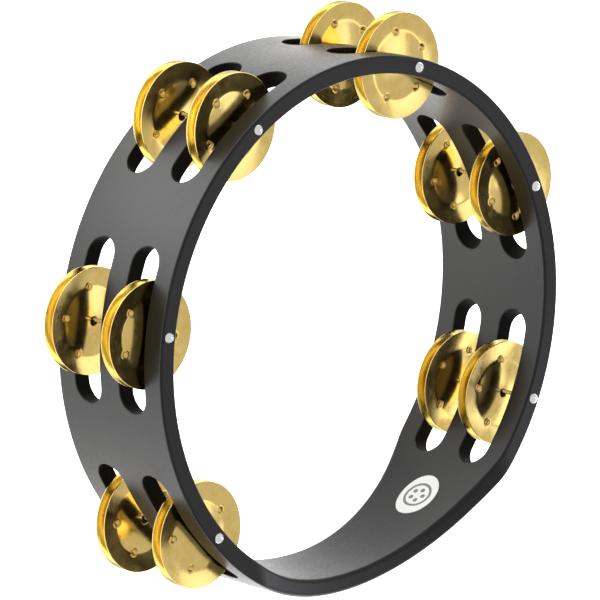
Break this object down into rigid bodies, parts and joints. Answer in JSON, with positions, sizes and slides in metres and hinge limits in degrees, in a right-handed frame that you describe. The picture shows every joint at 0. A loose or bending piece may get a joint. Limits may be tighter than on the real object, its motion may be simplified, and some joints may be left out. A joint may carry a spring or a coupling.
{
  "type": "tambourine",
  "caption": "Headless wooden tambourine: a bent hoop with a narrowed grip and two rows of slots where pairs of brass jingles slide on steel pins.",
  "frame": {"origin": "middle of the outline's bounding box, on the plane of the lower rim that lies on the table", "axes": "+Z along the ring's axis from the lower rim to the rim with the pin heads, -Y from the ring's centre towards the grip, +X to the right as the grip faces the viewer"},
  "size_m": [0.2856, 0.2624, 0.0706],
  "materials": {
    "lacquered_wood": "satin black lacquer",
    "badge_foil": "printed white foil sticker",
    "pin_steel": "bright domed nail",
    "jingle_brass": "polished and stamped"
  },
  "bodies": {
    "frame": {"hoop": "lacquered_wood", "badge": "badge_foil", "pin_1": "pin_steel", "pin_2": "pin_steel", "pin_3": "pin_steel", "pin_4": "pin_steel", "pin_5": "pin_steel", "pin_6": "pin_steel"},
    "jingle_1_upper_top": {"jingle_1_upper_top": "jingle_brass"},
    "jingle_1_upper_bottom": {"jingle_1_upper_bottom": "jingle_brass"},
    "jingle_1_lower_top": {"jingle_1_lower_top": "jingle_brass"},
    "jingle_1_lower_bottom": {"jingle_1_lower_bottom": "jingle_brass"},
    "jingle_2_upper_top": {"jingle_2_upper_top": "jingle_brass"},
    "jingle_2_upper_bottom": {"jingle_2_upper_bottom": "jingle_brass"},
    "jingle_2_lower_top": {"jingle_2_lower_top": "jingle_brass"},
    "jingle_2_lower_bottom": {"jingle_2_lower_bottom": "jingle_brass"},
    "jingle_3_upper_top": {"jingle_3_upper_top": "jingle_brass"},
    "jingle_3_upper_bottom": {"jingle_3_upper_bottom": "jingle_brass"},
    "jingle_3_lower_top": {"jingle_3_lower_top": "jingle_brass"},
    "jingle_3_lower_bottom": {"jingle_3_lower_bottom": "jingle_brass"},
    "jingle_4_upper_top": {"jingle_4_upper_top": "jingle_brass"},
    "jingle_4_upper_bottom": {"jingle_4_upper_bottom": "jingle_brass"},
    "jingle_4_lower_top": {"jingle_4_lower_top": "jingle_brass"},
    "jingle_4_lower_bottom": {"jingle_4_lower_bottom": "jingle_brass"},
    "jingle_5_upper_top": {"jingle_5_upper_top": "jingle_brass"},
    "jingle_5_upper_bottom": {"jingle_5_upper_bottom": "jingle_brass"},
    "jingle_5_lower_top": {"jingle_5_lower_top": "jingle_brass"},
    "jingle_5_lower_bottom": {"jingle_5_lower_bottom": "jingle_brass"},
    "jingle_6_upper_top": {"jingle_6_upper_top": "jingle_brass"},
    "jingle_6_upper_bottom": {"jingle_6_upper_bottom": "jingle_brass"},
    "jingle_6_lower_top": {"jingle_6_lower_top": "jingle_brass"},
    "jingle_6_lower_bottom": {"jingle_6_lower_bottom": "jingle_brass"}
  },
  "joints": [
    {"name": "jingle_1_upper_top_slide", "type": "slide", "parent": "frame", "child": "jingle_1_upper_top", "axis": [0, 0, 1], "range_m": [0, 0.00855]},
    {"name": "jingle_1_upper_bottom_slide", "type": "slide", "parent": "frame", "child": "jingle_1_upper_bottom", "axis": [0, 0, 1], "range_m": [-0.00135, 0]},
    {"name": "jingle_1_lower_top_slide", "type": "slide", "parent": "frame", "child": "jingle_1_lower_top", "axis": [0, 0, 1], "range_m": [0, 0.00635]},
    {"name": "jingle_1_lower_bottom_slide", "type": "slide", "parent": "frame", "child": "jingle_1_lower_bottom", "axis": [0, 0, 1], "range_m": [-0.00355, 0]},
    {"name": "jingle_2_upper_top_slide", "type": "slide", "parent": "frame", "child": "jingle_2_upper_top", "axis": [0, 0, 1], "range_m": [0, 0.00205]},
    {"name": "jingle_2_upper_bottom_slide", "type": "slide", "parent": "frame", "child": "jingle_2_upper_bottom", "axis": [0, 0, 1], "range_m": [-0.00785, 0]},
    {"name": "jingle_2_lower_top_slide", "type": "slide", "parent": "frame", "child": "jingle_2_lower_top", "axis": [0, 0, 1], "range_m": [0, 0.00935]},
    {"name": "jingle_2_lower_bottom_slide", "type": "slide", "parent": "frame", "child": "jingle_2_lower_bottom", "axis": [0, 0, 1], "range_m": [-0.00055, 0]},
    {"name": "jingle_3_upper_top_slide", "type": "slide", "parent": "frame", "child": "jingle_3_upper_top", "axis": [0, 0, 1], "range_m": [0, 0.00055]},
    {"name": "jingle_3_upper_bottom_slide", "type": "slide", "parent": "frame", "child": "jingle_3_upper_bottom", "axis": [0, 0, 1], "range_m": [-0.00935, 0]},
    {"name": "jingle_3_lower_top_slide", "type": "slide", "parent": "frame", "child": "jingle_3_lower_top", "axis": [0, 0, 1], "range_m": [0, 0.00775]},
    {"name": "jingle_3_lower_bottom_slide", "type": "slide", "parent": "frame", "child": "jingle_3_lower_bottom", "axis": [0, 0, 1], "range_m": [-0.00215, 0]},
    {"name": "jingle_4_upper_top_slide", "type": "slide", "parent": "frame", "child": "jingle_4_upper_top", "axis": [0, 0, 1], "range_m": [0, 0.00345]},
    {"name": "jingle_4_upper_bottom_slide", "type": "slide", "parent": "frame", "child": "jingle_4_upper_bottom", "axis": [0, 0, 1], "range_m": [-0.00645, 0]},
    {"name": "jingle_4_lower_top_slide", "type": "slide", "parent": "frame", "child": "jingle_4_lower_top", "axis": [0, 0, 1], "range_m": [0, 0.00935]},
    {"name": "jingle_4_lower_bottom_slide", "type": "slide", "parent": "frame", "child": "jingle_4_lower_bottom", "axis": [0, 0, 1], "range_m": [-0.00055, 0]},
    {"name": "jingle_5_upper_top_slide", "type": "slide", "parent": "frame", "child": "jingle_5_upper_top", "axis": [0, 0, 1], "range_m": [0, 0.00065]},
    {"name": "jingle_5_upper_bottom_slide", "type": "slide", "parent": "frame", "child": "jingle_5_upper_bottom", "axis": [0, 0, 1], "range_m": [-0.00925, 0]},
    {"name": "jingle_5_lower_top_slide", "type": "slide", "parent": "frame", "child": "jingle_5_lower_top", "axis": [0, 0, 1], "range_m": [0, 0.00915]},
    {"name": "jingle_5_lower_bottom_slide", "type": "slide", "parent": "frame", "child": "jingle_5_lower_bottom", "axis": [0, 0, 1], "range_m": [-0.00075, 0]},
    {"name": "jingle_6_upper_top_slide", "type": "slide", "parent": "frame", "child": "jingle_6_upper_top", "axis": [0, 0, 1], "range_m": [0, 0.00055]},
    {"name": "jingle_6_upper_bottom_slide", "type": "slide", "parent": "frame", "child": "jingle_6_upper_bottom", "axis": [0, 0, 1], "range_m": [-0.00935, 0]},
    {"name": "jingle_6_lower_top_slide", "type": "slide", "parent": "frame", "child": "jingle_6_lower_top", "axis": [0, 0, 1], "range_m": [0, 0.00875]},
    {"name": "jingle_6_lower_bottom_slide", "type": "slide", "parent": "frame", "child": "jingle_6_lower_bottom", "axis": [0, 0, 1], "range_m": [-0.00115, 0]}
  ]
}
